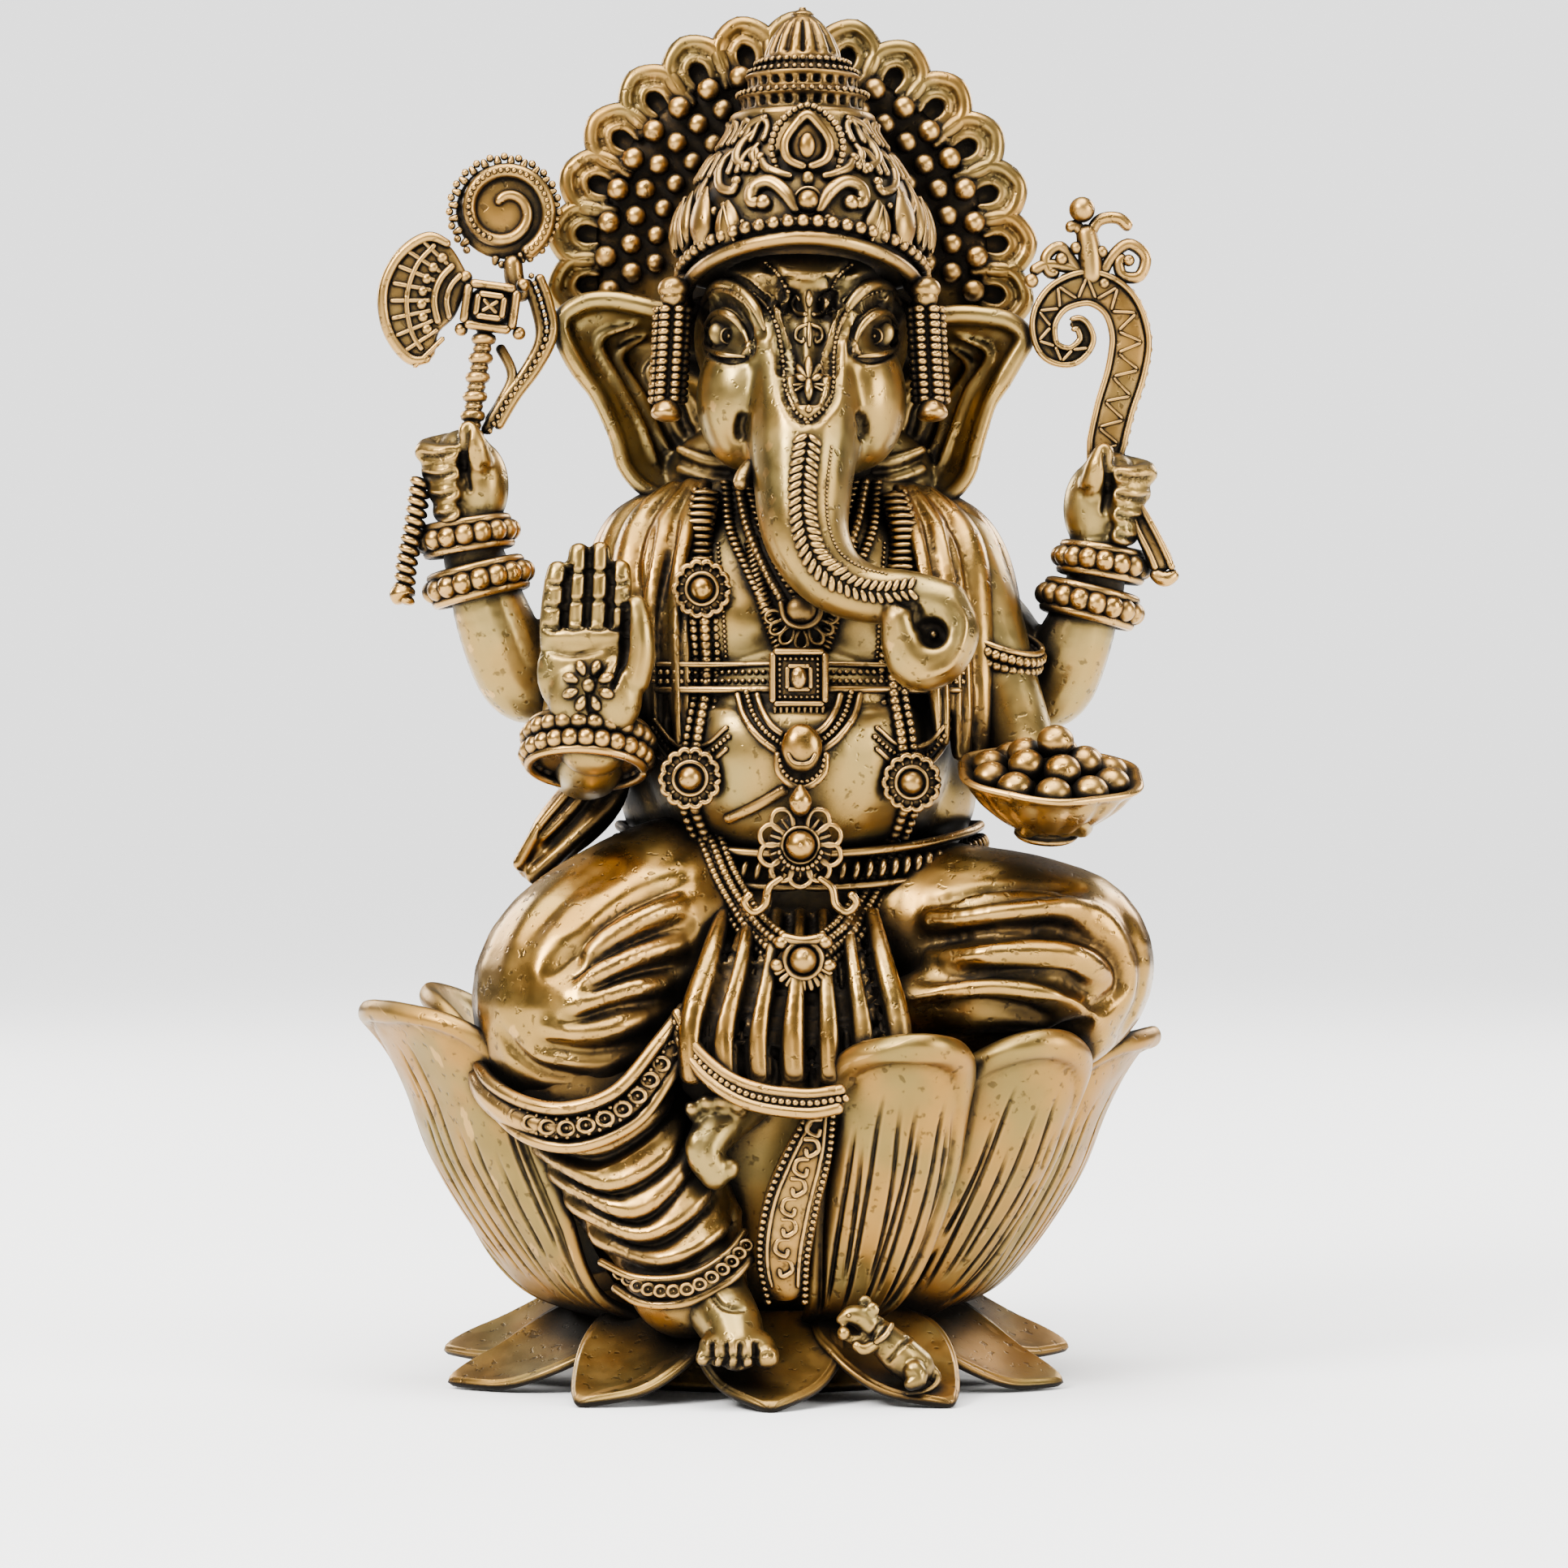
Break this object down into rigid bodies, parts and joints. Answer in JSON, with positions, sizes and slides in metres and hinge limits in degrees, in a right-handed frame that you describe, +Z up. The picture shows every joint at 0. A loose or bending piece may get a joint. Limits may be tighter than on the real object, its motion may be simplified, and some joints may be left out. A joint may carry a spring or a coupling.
{
  "type": "seated deity figurine",
  "caption": "Antique brass figurine of a seated elephant-headed deity with raised and lowered arms, a feathered halo, garlands and held emblems, on an open lotus.",
  "frame": {"origin": "centre of the bounding box in plan, on the surface the figurine stands on", "axes": "+Z up through the crown, the face towards -Y, +X to the viewer's right when facing it"},
  "size_m": [0.06, 0.04, 0.1],
  "materials": {
    "lotus_brass": "cast brass with brushed patina and dark grooves",
    "drapery_brass": "polished antique brass, dark in the folds",
    "skin_brass": "polished antique brass with small casting pits",
    "crown_brass": "chased antique brass, near-black recesses",
    "ornament_brass": "warm worn brass on raised beads, near-black recesses",
    "emblem_brass": "chased antique brass, worn edges"
  },
  "bodies": {
    "root": {"ground_petal_ring": "lotus_brass", "lotus_core": "lotus_brass", "petal_front_left": "lotus_brass", "petal_side_left": "lotus_brass", "petal_outer_left": "lotus_brass", "petal_rear_left": "lotus_brass", "petal_back_left": "lotus_brass", "petal_back_right": "lotus_brass", "petal_rear_right": "lotus_brass", "petal_outer_right": "lotus_brass", "petal_side_right": "lotus_brass", "torso": "skin_brass", "hanging_thigh": "drapery_brass", "hanging_shin": "drapery_brass", "hanging_foot": "skin_brass", "folded_leg": "drapery_brass", "folded_foot": "skin_brass", "lap_pleats": "drapery_brass", "lap_hem": "ornament_brass", "hanging_sash": "drapery_brass", "knee_hem": "ornament_brass", "waist_rope": "ornament_brass", "shawl_right": "drapery_brass", "shawl_left": "drapery_brass", "shawl_end": "drapery_brass", "head": "skin_brass", "trunk": "skin_brass", "ear_right": "skin_brass", "ear_left": "skin_brass", "crown_dome": "crown_brass", "crown_finial": "crown_brass", "brow_band": "crown_brass", "tassel_right": "ornament_brass", "tassel_left": "ornament_brass", "halo": "crown_brass", "rear_arm_right": "skin_brass", "rear_arm_left": "skin_brass", "bracelets_rear_right": "ornament_brass", "bracelets_rear_left": "ornament_brass", "axe": "emblem_brass", "noose": "emblem_brass", "rope": "ornament_brass", "goad": "emblem_brass", "ribbon": "ornament_brass", "front_arm_right": "skin_brass", "blessing_hand": "skin_brass", "bracelet_front_right": "ornament_brass", "front_arm_left": "skin_brass", "armband": "ornament_brass", "bowl_of_sweets": "ornament_brass", "garland_right": "ornament_brass", "garland_left": "ornament_brass", "rosette_chest": "ornament_brass", "rosette_belly_right": "ornament_brass", "rosette_belly_left": "ornament_brass", "garland_medal": "ornament_brass", "chest_pendant": "ornament_brass", "belly_brooch": "ornament_brass", "chest_buckle": "ornament_brass", "mouse": "skin_brass"}
  },
  "joints": []
}
